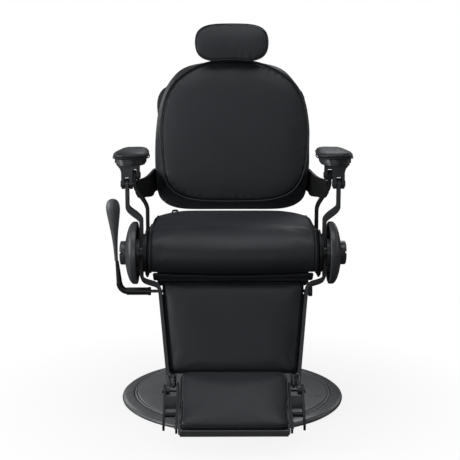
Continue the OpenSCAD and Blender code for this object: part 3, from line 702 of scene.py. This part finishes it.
xs = [-256.5, -255, -252.5, -249, -246] + list(range(-230, 231, 10)) + [246, 249, 252.5, 255, 256.5]
seat_seams = {s: even(seat_ring(s * 246.0), 0.002) for s in (-1, 1)}
soft("seat_cushion_cover", "seat_cushion", "seat", WORLD, [seat_ring(x) for x in xs], 0.0062,
     [seat_seams[-1], seat_seams[1], lambda c: ((c[:, 2] < 0.480) & (c[:, 1] > -0.235)).astype(float)], 0.0055, 3.2, -0.004, 0.8,
     [(seat_seams[-1], 0.0018, 0.0035, 0.0004), (seat_seams[1], 0.0018, 0.0035, 0.0004)])

# ---- valance: a thin padded strip under the front roll
VAL = np.array([(-247.5, 459), (-244.5, 452.5), (-237, 444.5), (-227, 437), (-219, 432.5), (-212, 431.5), (-208, 434.5), (-210, 443), (-218, 453), (-229, 460), (-241, 461.8)], float)
val_loop = curve_loop(VAL, 3.0)
VC = val_loop.mean(0)


def val_ring(x):
    a = abs(x)
    k = {242: 0.55, 241: 0.8, 238: 0.95}.get(a, 1.0)
    p = VC + (val_loop - VC) * [k, 0.5 + 0.5 * k]
    p[:, 1] -= 7.5 * (1 - (a / 246) ** 2) * smoothstep((p[:, 1] - 434) / 24)
    return np.stack([np.full(len(p), x), p[:, 0], p[:, 1]], 1) / 1000


xs = [-242, -241, -238] + list(range(-224, 225, 14)) + [238, 241, 242]
soft("seat_valance_cover", "seat_valance", "seat", WORLD, [val_ring(float(x)) for x in xs], 0.0035,
     [lambda c: ((c[:, 2] > 0.4515) | (c[:, 1] > -0.222)).astype(float)], 0.003, 3.0, 0.0, 0.4)

# ---- backrest cushion: front panel, flaring boxing, rear edge
BACK_OUT = [(-18, 80), (-18, 125), (-16.5, 166), (-12, 194), (-4, 217.5), (7, 235), (20, 248), (43, 257), (100, 264), (180, 266.5), (262, 263), (338, 253),
            (384, 240), (416, 224.5), (442, 207), (466, 184.5), (480, 162), (489, 135), (495, 100), (498, 50)]
BACK_FRONT = [(4, 60), (6, 105), (12, 143), (28, 186), (50, 213), (82, 231), (143, 241), (199, 246), (241, 248), (283, 245.5), (334, 238), (364, 229), (396, 213),
              (421, 194), (448, 160), (467, 126), (480, 92), (487.5, 60), (490, 28)]
outer = even(curve_loop(np.array(mirror_outline(BACK_OUT), float), 5.0), count=300)
front = even(curve_loop(np.array(mirror_outline(BACK_FRONT), float), 5.0), count=300)


def start_at_bottom(p):
    return np.roll(p, -int(np.argmin((p[:, 0] - 0) ** 2 + (p[:, 1] - p[:, 1].min()) ** 2)), 0)


outer, front = start_at_bottom(outer), start_at_bottom(front)


def back_ring(y, k, grow=0.0, inward=0.0):
    p = front + (outer - front) * k
    p = inset(p, inward - grow)
    s = 0.45 + 0.55 * smoothstep((p[:, 1] - 60) / 90)
    p[:, 0] *= 1 + np.where(p[:, 0] > 0, 0.070 - 0.048 * k, -0.018 * (1 - k)) * s
    return np.stack([p[:, 0], np.full(len(p), y), p[:, 1]], 1) / 1000


back_front_seam = even(back_ring(9, 0), 0.002)
back_rear_seam = even(back_ring(78, 0.985), 0.002)
soft("back_cushion_cover", "back_cushion", "back", BACK,
     [back_ring(4, 0, 0, 46), back_ring(4.5, 0, 0, 22), back_ring(6, 0, 0, 9), back_ring(9, 0, 0, 0), back_ring(20, 0.15, 1.0), back_ring(36, 0.40, 1.6), back_ring(54, 0.72, 1.4),
      back_ring(68, 0.92, 0.8), back_ring(78, 0.985), back_ring(83, 0.97, 0, 3), back_ring(84.8, 0.93, 0, 9)], 0.0065,
     [back_front_seam, back_rear_seam, lambda c: (c[:, 1] > 0.081).astype(float)], 0.011, 4.0, -0.004, 0.75,
     [(back_front_seam, 0.0034, 0.0050, 0.0008), (back_rear_seam, 0.002, 0.004, 0.0)])

# ---- headrest pad
HEAD = [(-58, 20), (-59.5, 46), (-58.8, 70), (-53.5, 93), (-43, 110), (-28, 120), (-10, 125), (8, 125), (25, 119.5), (40, 107), (50, 88.5), (55.5, 63), (57.5, 34)]
head = even(curve_loop(np.array(mirror_outline(HEAD), float), 4.0), count=180)


def head_ring(y, inward, lift=0.0):
    p = inset(head, inward)
    p[:, 0] = p[:, 0] * 1.012 + 0.8
    p[:, 1] += lift
    a = np.abs(p[:, 0])
    low = smoothstep((30 - p[:, 1]) / 60)
    front = smoothstep((-2 - y) / 15)
    p[:, 1] += low * (8.0 * (1 - front) - front * (13.0 + 1.5 * np.exp(-((a - 74) / 30) ** 2)))
    return np.stack([p[:, 0], np.full(len(p), y), p[:, 1] + 553], 1) / 1000


head_seam = even(head_ring(-30, 2.6, 0.4), 0.002)
head_rear = even(head_ring(33, 5), 0.002)
soft("headrest_cover", "headrest_pad", "headrest", BACK,
     [head_ring(-35.5, 30, 0.4), head_ring(-34.7, 16, 0.4), head_ring(-33, 7, 0.4), head_ring(-30, 2.6, 0.4), head_ring(-20, 1.2), head_ring(-4, 0.6), head_ring(14, 1.0), head_ring(26, 2.5), head_ring(33, 5),
      head_ring(38, 11), head_ring(39.7, 20)], 0.0045,
     [head_seam, head_rear, lambda c: (c[:, 1] > 0.037).astype(float)], 0.012, 5.0, -0.004, 0.85,
     [(head_seam, 0.0015, 0.0030, 0.0005), (head_rear, 0.0012, 0.003, 0.0)])


# ---- armrest pads: one is made, the other is its mirror image
ARM = [(-249, 10), (-246, 22), (-239, 33.5), (-228, 43), (-212, 50), (-190, 53), (-160, 53), (-110, 49.5), (-50, 43.5), (10, 38.5), (65, 34.5), (95, 31), (112, 25),
       (122, 17), (126, 8)]
pad = even(curve_loop(np.array(mirror_outline(ARM), float), 3.0), count=200)


def arm_ring(z, f, grow=0.0):
    """The outline at height z, drawn in to its middle line by the part f."""
    p = inset(pad, -grow)
    p = np.stack([p[:, 0] * (1 - f), (p[:, 1] + 61) * (1 - f * 0.30) - 61], 1)
    k = smoothstep((p[:, 1] + 90) / 210)
    zz = 800.5 + (z - 800.5) * (1 - 0.52 * k)
    return np.stack([p[:, 0] + 306, p[:, 1], zz], 1) / 1000


arm_seam = even(arm_ring(803.2, 0.012), 0.002)
ARM_RINGS = [arm_ring(800.6, 0.10), arm_ring(801.4, 0.05), arm_ring(803, 0.015), arm_ring(805.5, 0.0, 1.2), arm_ring(809.5, 0.0, 2.2), arm_ring(813.5, 0.0, 1.6),
             arm_ring(817.0, 0.04), arm_ring(819.8, 0.12), arm_ring(821.6, 0.26), arm_ring(822.6, 0.46)]
for side, s in (("right", 1), ("left", -1)):
    soft("arm_pad_cover_" + side, "arm_pad_" + side, "armrest_" + side, WORLD, [r * [s, 1, 1] for r in ARM_RINGS], 0.0042,
         [lambda c: (c[:, 2] < 0.8028).astype(float)], 0.005, 4.0, -0.003, 0.8, [(arm_seam * [s, 1, 1], 0.0016, 0.003, 0.0003)])

# ---- calf cushion
CALF = [(-206, -90.5), (206, -90.5), (211.5, -93), (213, -99.5), (212.6, -110), (187, -354.5), (184.5, -361.5), (177.5, -365), (-177.5, -365), (-184.5, -361.5), (-187, -354.5), (-212.6, -110), (-213, -99.5), (-211.5, -93)]


def ease(loop, n):
    """A closed loop with its corners rounded off by n rounds of averaging."""
    for _ in range(int(n)):
        loop = (np.roll(loop, 1, 0) + 2 * loop + np.roll(loop, -1, 0)) / 4
    return loop


dense = []
for (x0, z0), (x1, z1) in zip(CALF, CALF[1:] + CALF[:1]):
    k = max(1, int(math.hypot(x1 - x0, z1 - z0) / 12))
    dense += [(x0 + (x1 - x0) * i / k, z0 + (z1 - z0) * i / k) for i in range(k)]
calf = even(curve_loop(np.array(dense), 4.0), count=300)


def calf_ring(y, inward):
    p = ease(inset(calf, inward), max(0, inward - 3) * 6)
    return np.stack([p[:, 0], np.full(len(p), y), p[:, 1]], 1) / 1000


calf_seam = even(calf_ring(9.5, 0.8), 0.002)
soft("calf_cushion_cover", "calf_cushion", "leg_rest", LEG,
     [calf_ring(-14.2, 84), calf_ring(-13.6, 62), calf_ring(-12.6, 43), calf_ring(-11.0, 26), calf_ring(-8.8, 13), calf_ring(-6.0, 5.5), calf_ring(-3.0, 2.0), calf_ring(1.5, 0.3), calf_ring(6, 0.2), calf_ring(9.5, 0.9), calf_ring(12.0, 3), calf_ring(13.2, 8)], 0.0055,
     [calf_seam, lambda c: (c[:, 1] > 0.0115).astype(float)], 0.003, 1.6, 0.0, 0.55,
     [(calf_seam, 0.0016, 0.003, 0.0)])

# ---- footrest pad, with a notch each side for the bracket's roller
half = [(-157, 0), (-157, 124), (-155.5, 135), (-151, 144), (-145, 149.5), (-139, 151.8), (-136, 151), (-131, 147.6), (-125, 146.6), (-71, 146.6), (-65, 147.6), (-60, 151),
        (-55, 151.8), (14, 151.8), (24, 149.5), (31.5, 144), (36.5, 135), (38, 122), (38, 0)]
dense = []
full = mirror_outline(half[1:-1])
for (x0, z0), (x1, z1) in zip(full, full[1:] + full[:1]):
    k = max(1, int(math.hypot(x1 - x0, z1 - z0) / 10))
    dense += [(x0 + (x1 - x0) * i / k, z0 + (z1 - z0) * i / k) for i in range(k)]
foot = even(curve_loop(np.array(dense), 3.0), count=320)


def foot_ring(z, inward):
    p = ease(inset(foot, inward), max(0, inward - 3) * 6)
    zz = z * (1 + 0.40 * smoothstep((p[:, 1] + 130) / 165)) if z > 0 else z + 0 * p[:, 0]
    return np.stack([p[:, 0], p[:, 1], zz], 1) / 1000


foot_seam = even(foot_ring(22.5, 0.6), 0.002)
soft("footrest_cover", "footrest_pad", "footrest", FOOT,
     [foot_ring(-7.6, 3), foot_ring(-6.6, 1.0), foot_ring(-2, 0.5), foot_ring(6, 0.0), foot_ring(15, -0.2), foot_ring(20, 0.0), foot_ring(22.5, 0.6), foot_ring(25, 2.6), foot_ring(27.4, 7.5),
      foot_ring(29.6, 17), foot_ring(31.2, 32), foot_ring(32, 50)], 0.0045,
     [foot_seam, lambda c: (c[:, 2] < 0.002).astype(float)], 0.004, 2.6, -0.002, 0.8,
     [(foot_seam, 0.0016, 0.0028, 0.0003)])

inflate()
PIECE = {s["name"]: s["o"] for s in SOFT}

# ------------------------------------------------------------------ welts and thread
for s, side in ((-1, "left"), (1, "right")):
    ring = seat_ring(s * 246.0) * 1000
    p2 = inset(ring[:, 1:], -0.5)
    line = np.stack([ring[:, 0] + s * 0.4, p2[:, 0], p2[:, 1]], 1) / 1000
    tube("seat_welt_" + side, even(line, 0.005), 0.0021, WELT_PAINTED_SHADE, "seat")
    for off, tag in ((-7.5, "inner"), (6.5, "outer")):
        q = seat_ring(s * 246.0)
        q[:, 0] += s * off / 1000
        ok = lambda v: v[2] > 0.486
        i0 = next(i for i in range(len(q)) if ok(q[i]) and not ok(q[i - 1]))
        row = np.array([q[(i0 + i) % len(q)] for i in range(len(q)) if ok(q[(i0 + i) % len(q)])])
        stitches(f"seat_stitch_{tag}_{side}", row, PIECE["seat_cushion_cover"], "seat", closed=False)

tube("back_welt_front", place(BACK, even(back_ring(8.0, 0.03, 0.2), 0.005)), 0.0034, WELT_PAINTED_SHADE, "back")
tube("back_welt_rear", place(BACK, even(back_ring(79.5, 0.985, -0.6), 0.005)), 0.0026, WELT_PAINTED_SHADE, "back")
stitches("back_stitch_front", place(BACK, back_ring(5, 0, 0, 8.5)), PIECE["back_cushion_cover"], "back")
stitches("back_stitch_boxing", place(BACK, back_ring(16, 0.12, 1.5)), PIECE["back_cushion_cover"], "back")

tube("headrest_welt_front", place(BACK, even(head_ring(-30.5, 2.9, 0.4), 0.004)), 0.0022, WELT_PAINTED_SHADE, "headrest")
tube("headrest_welt_rear", place(BACK, even(head_ring(34, 5.6), 0.004)), 0.0022, WELT_PAINTED_SHADE, "headrest")
stitches("headrest_stitch_front", place(BACK, head_ring(-34, 9.0, 0.4)), PIECE["headrest_cover"], "headrest")

for side, s in (("right", 1), ("left", -1)):
    line = even(arm_ring(803.0, 0.0, 0.3), 0.004) * [s, 1, 1]
    tube("arm_welt_" + side, line, 0.0017, WELT_PAINTED_SHADE, "armrest_" + side)
    stitches("arm_stitch_" + side, arm_ring(807.5, 0.0, 1.6) * [s, 1, 1], PIECE["arm_pad_cover_" + side], "armrest_" + side)

tube("calf_welt", place(LEG, even(calf_ring(10.5, 1.2), 0.005)), 0.0019, WELT_PAINTED_SHADE, "leg_rest")
stitches("calf_stitch", place(LEG, calf_ring(4.5, 0.2)), PIECE["calf_cushion_cover"], "leg_rest")

tube("footrest_welt", place(FOOT, even(foot_ring(22.5, -0.2), 0.004)), 0.0018, WELT_PAINTED_SHADE, "footrest")
stitches("footrest_stitch", place(FOOT, foot_ring(26.5, 8.5)), PIECE["footrest_cover"], "footrest")


def band(name, outer2, inner2, z0, z1, m, mat, body, bevel=0.0004):
    """A thin upright strip between two closed 2-D loops."""
    k = len(outer2)
    v = [(*q, z) for q, z in [(p, z0) for p in outer2] + [(p, z1) for p in outer2] + [(p, z1) for p in inner2] + [(p, z0) for p in inner2]]
    f = []
    for i in range(k):
        j = (i + 1) % k
        for a, b in ((0, 1), (1, 2), (2, 3), (3, 0)):
            f.append((a * k + i, a * k + j, b * k + j, b * k + i))
    o = make(name, place(m, np.array(v) / 1000), f, mat)
    b = o.modifiers.new("edges", "BEVEL")
    b.width, b.segments, b.limit_method = bevel, 2, "ANGLE"
    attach(o, body)
    return o


TRIM = metal("worn_edge_trim", (0.20, 0.20, 0.205), 0.34, (1, 1, 1), 0.2)
band("footrest_edge_trim", inset(foot, -2.6), inset(foot, -0.7), -7.9, 3.5, FOOT, TRIM, "footrest")

# ------------------------------------------------------------------ small fixings
def screws(name, spots, normal_m, r, mat, body, slot_w=0.16):
    """Domed cross-slotted screw heads, one mesh; each spot is a point in the local frame, heads point along local +z."""
    n = 20
    prof = [(0.62, -0.5), (0.98, -0.4), (1.0, 0.0), (0.93, 0.17), (0.72, 0.30), (0.45, 0.37)]
    v, f = [], []
    for spot in spots:
        base = len(v)
        for k, h in prof:
            for j in range(n):
                a = 2 * math.pi * j / n
                # the recess: points near the cross lines sink on the inner rings
                c, d = abs(math.cos(a)), abs(math.sin(a))
                sunk = 0.16 if k < 0.5 and min(c, d) < slot_w * 2 else 0.0
                v.append((spot[0] + r * k * math.cos(a), spot[1] + r * k * math.sin(a), spot[2] + r * (h - sunk)))
        for i in range(len(prof) - 1):
            for j in range(n):
                a, b = base + i * n + j, base + i * n + (j + 1) % n
                f.append((a, b, b + n, a + n))
        v.append((spot[0], spot[1], spot[2] - 0.5 * r))
        v.append((spot[0], spot[1], spot[2] + 0.17 * r))
        top = base + (len(prof) - 1) * n
        for j in range(n):
            f.append((len(v) - 2, base + (j + 1) % n, base + j))
            f.append((len(v) - 1, top + j, top + (j + 1) % n))
    o = make(name, place(normal_m, np.array(v)), f, mat)
    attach(o, body)
    return o


STEEL = FINISH["steel"]
REAR = BACK @ Matrix.Translation((0, 0.111, 0)) @ rx(-90)      # local x across, -y up the back, +z out of the shell
spots = [(s * x, -h, 0.0012) for s in (-1, 1) for x, h in ((0.228, 0.060), (0.242, 0.190), (0.243, 0.320), (0.196, 0.408), (0.100, 0.022), (0.104, 0.412))]
screws("shell_screws", spots, REAR, 0.0058, STEEL, "back")
for tag, s in (("right", 1), ("left", -1)):
    out = Matrix.Translation((s * 0.2645, 0, 0)) @ Matrix.Rotation(math.radians(90 * s), 4, "Y")
    # local x is down (right) or up (left), local y is along the chair
    k = -s
    screws("side_plate_screws_" + tag, [(k * z, y, 0.0010) for y, z in ((-0.090, 0.556), (-0.080, 0.455), (0.090, 0.457), (0.008, 0.455))], out, 0.0060, STEEL, "seat")
    plate = FOOT @ Matrix.Translation((s * 0.1645, 0, 0)) @ Matrix.Rotation(math.radians(90 * s), 4, "Y")
    screws("bracket_screws_" + tag, [(k * z, y, 0.0012) for y, z in ((-0.101, -0.004), (-0.118, -0.004), (-0.135, -0.0055))], plate, 0.0045, STEEL, "footrest")

# a seam welt round the rear shell
SHELL = [(8, 150), (11, 188), (22, 219), (45, 241), (80, 249), (140, 253), (295, 254), (345, 259), (378, 255.5), (394, 248.5), (406, 238), (416, 221.5), (421.5, 201), (423.5, 170)]
shell = even(curve_loop(np.array(mirror_outline(SHELL), float), 4.0), count=260)
tube("shell_welt", place(BACK, np.stack([shell[:, 0], np.full(260, 111.4), shell[:, 1]], 1) / 1000), 0.0019, WELT_PAINTED_SHADE, "back")
for tag, d in (("outer", 6.5), ("inner", 10.5)):
    q = inset(shell, d)
    stitches("shell_stitch_" + tag, place(BACK, np.stack([q[:, 0], np.full(260, 112.0), q[:, 1]], 1) / 1000), NODES["back_shell"], "back")

# ------------------------------------------------------------------ a light grey ring on the base at the cover's edge: a painted highlight along that edge
ang = np.linspace(0, 2 * math.pi, 241)[:-1]
bead = tube("base_edge_painted_highlight", np.stack([0.3172 * np.cos(ang), 0.3172 * np.sin(ang), np.full(240, 0.0174)], 1), 0.0021, paint("edge_painted_highlight_enamel", (0.34, 0.34, 0.345), 0.30), "base")

# ------------------------------------------------------------------ pull tab at the rear of the seat
q = [(-11.5, 0), (-11.5, 5), (-9.5, 9.5), (-5.5, 11.5), (0, 12), (5.5, 11.5), (9.5, 9.5), (11.5, 5), (11.5, 0), (11.5, -9), (0, -10), (-11.5, -9)]
outer_loop = even(curve_loop(np.array(q, float), 1.5), count=80)
flip = Matrix.Translation((-0.1915, 0.155, 0.5855)) @ rx(90)
band("seat_pull_tab", outer_loop, inset(outer_loop, 4.8), -8.0, 8.0, flip, LEATHER, "seat", 0.0012)

# ------------------------------------------------------------------ camera, floor, light
cam = bpy.data.cameras.new("camera")
cam.sensor_fit = "HORIZONTAL"
cam.sensor_width = 36
cam.lens = 994 / 460 * 36
cam.clip_start, cam.clip_end = 0.1, 60
camera = bpy.data.objects.new("camera", cam)
camera.location = (-0.0331, -3.1648, 1.054)
camera.rotation_euler = (math.radians(81), 0, math.radians(-0.462))
bpy.context.scene.collection.objects.link(camera)
bpy.context.scene.camera = camera

fm = Mat("studio_floor")
tone = fm.ramp(fm.noise(0.8, 3, 0.5), (0.3, (0.80, 0.80, 0.80)), (0.7, (0.84, 0.84, 0.84)))
fm.set(Base_Color=tone, Roughness=fm.remap(fm.noise(3, 3, 0.5), 0.3, 0.7, 0.6, 0.7), Specular_IOR_Level=0.2,
       Normal=fm.bump(fm.noise(160, 3, 0.5), 0.05, 0.001))
# the far floor fades into the white backdrop
far = fm.t.nodes.new("ShaderNodeVectorMath")
far.operation = "LENGTH"
fm.put(far.inputs[0], fm.co)
glow = fm.t.nodes.new("ShaderNodeEmission")
glow.inputs[0].default_value = (1, 1, 1, 1)
dim = fm.t.nodes.new("ShaderNodeBsdfDiffuse")
dim.inputs[0].default_value = (0.09, 0.09, 0.09, 1)
lp = fm.t.nodes.new("ShaderNodeLightPath")
m1 = fm.t.nodes.new("ShaderNodeMixShader")
fm.put(m1.inputs[0], fm.remap(far.outputs["Value"], 0.36, 0.9, 0.86, 1.0))
fm.t.links.new(fm.b.outputs[0], m1.inputs[1])
fm.t.links.new(glow.outputs[0], m1.inputs[2])
m2 = fm.t.nodes.new("ShaderNodeMixShader")
fm.put(m2.inputs[0], lp.outputs["Is Camera Ray"])
fm.t.links.new(dim.outputs[0], m2.inputs[1])
fm.t.links.new(m1.outputs[0], m2.inputs[2])
fm.t.links.new(m2.outputs[0], fm.out.inputs[0])
R = 40.0
v = [(0, 0, -0.0002)] + [(R * math.cos(a), R * math.sin(a), -0.0002) for a in np.linspace(0, 2 * math.pi, 97)[:-1]]
floor = make("floor", v, [(0, i + 1, (i + 1) % 96 + 1) for i in range(96)], fm.m)


def area(name, loc, look, sx, sy, power, tint=(1, 1, 1)):
    l = bpy.data.lights.new(name, "AREA")
    l.shape = "RECTANGLE"
    l.size, l.size_y = sx, sy
    l.energy = power
    l.color = tint
    o = bpy.data.objects.new(name, l)
    o.location = loc
    o.rotation_euler = (Vector(look) - Vector(loc)).to_track_quat("-Z", "Y").to_euler()
    bpy.context.scene.collection.objects.link(o)
    return o


area("top_softbox", (0.0, -0.80, 2.75), (0, -0.20, 0.5), 2.6, 1.4, 22, (0.93, 0.965, 1.0))
area("key_softbox", (-3.0, -1.00, 1.35), (0, 0, 0.64), 1.5, 2.1, 54, (0.96, 0.98, 1.0))
area("front_softbox", (-0.8, -3.7, 1.20), (0, 0, 0.75), 2.6, 1.5, 15, (0.93, 0.965, 1.0))
area("fill_softbox", (2.7, -1.6, 1.4), (0, 0, 0.7), 0.9, 1.6, 4, (0.95, 0.975, 1.0))
area("rim_left", (-2.6, 0.6, 1.3), (0, 0, 0.6), 0.7, 1.7, 7)
area("rim_right", (2.6, 0.6, 1.3), (0, 0, 0.6), 0.7, 1.7, 4)
area("rear_softbox", (0.6, 3.0, 3.2), (0, 0.2, 0.8), 1.8, 1.0, 27, (0.96, 0.98, 1.0))
area("rear_left_softbox", (-2.0, 3.2, 1.5), (0, 0.2, 0.6), 1.0, 1.2, 6, (0.96, 0.98, 1.0))
area("rear_right_softbox", (2.2, 3.0, 1.6), (0, 0.2, 0.6), 1.0, 1.2, 4, (0.96, 0.98, 1.0))

world = bpy.data.worlds.new("studio")
bpy.context.scene.world = world
world.use_nodes = True
wt = world.node_tree
wt.nodes.clear()
wo = wt.nodes.new("ShaderNodeOutputWorld")
seen = wt.nodes.new("ShaderNodeBackground")
seen.inputs[0].default_value = (1, 1, 1, 1)
seen.inputs[1].default_value = 1.0
lit = wt.nodes.new("ShaderNodeBackground")
lit.inputs[0].default_value = (0.93, 0.96, 1.0, 1)
lit.inputs[1].default_value = 0.05
lp = wt.nodes.new("ShaderNodeLightPath")
mx = wt.nodes.new("ShaderNodeMixShader")
wt.links.new(lp.outputs["Is Camera Ray"], mx.inputs[0])
wt.links.new(lit.outputs[0], mx.inputs[1])
wt.links.new(seen.outputs[0], mx.inputs[2])
wt.links.new(mx.outputs[0], wo.inputs[0])
bpy.context.scene.view_settings.view_transform = "Standard"
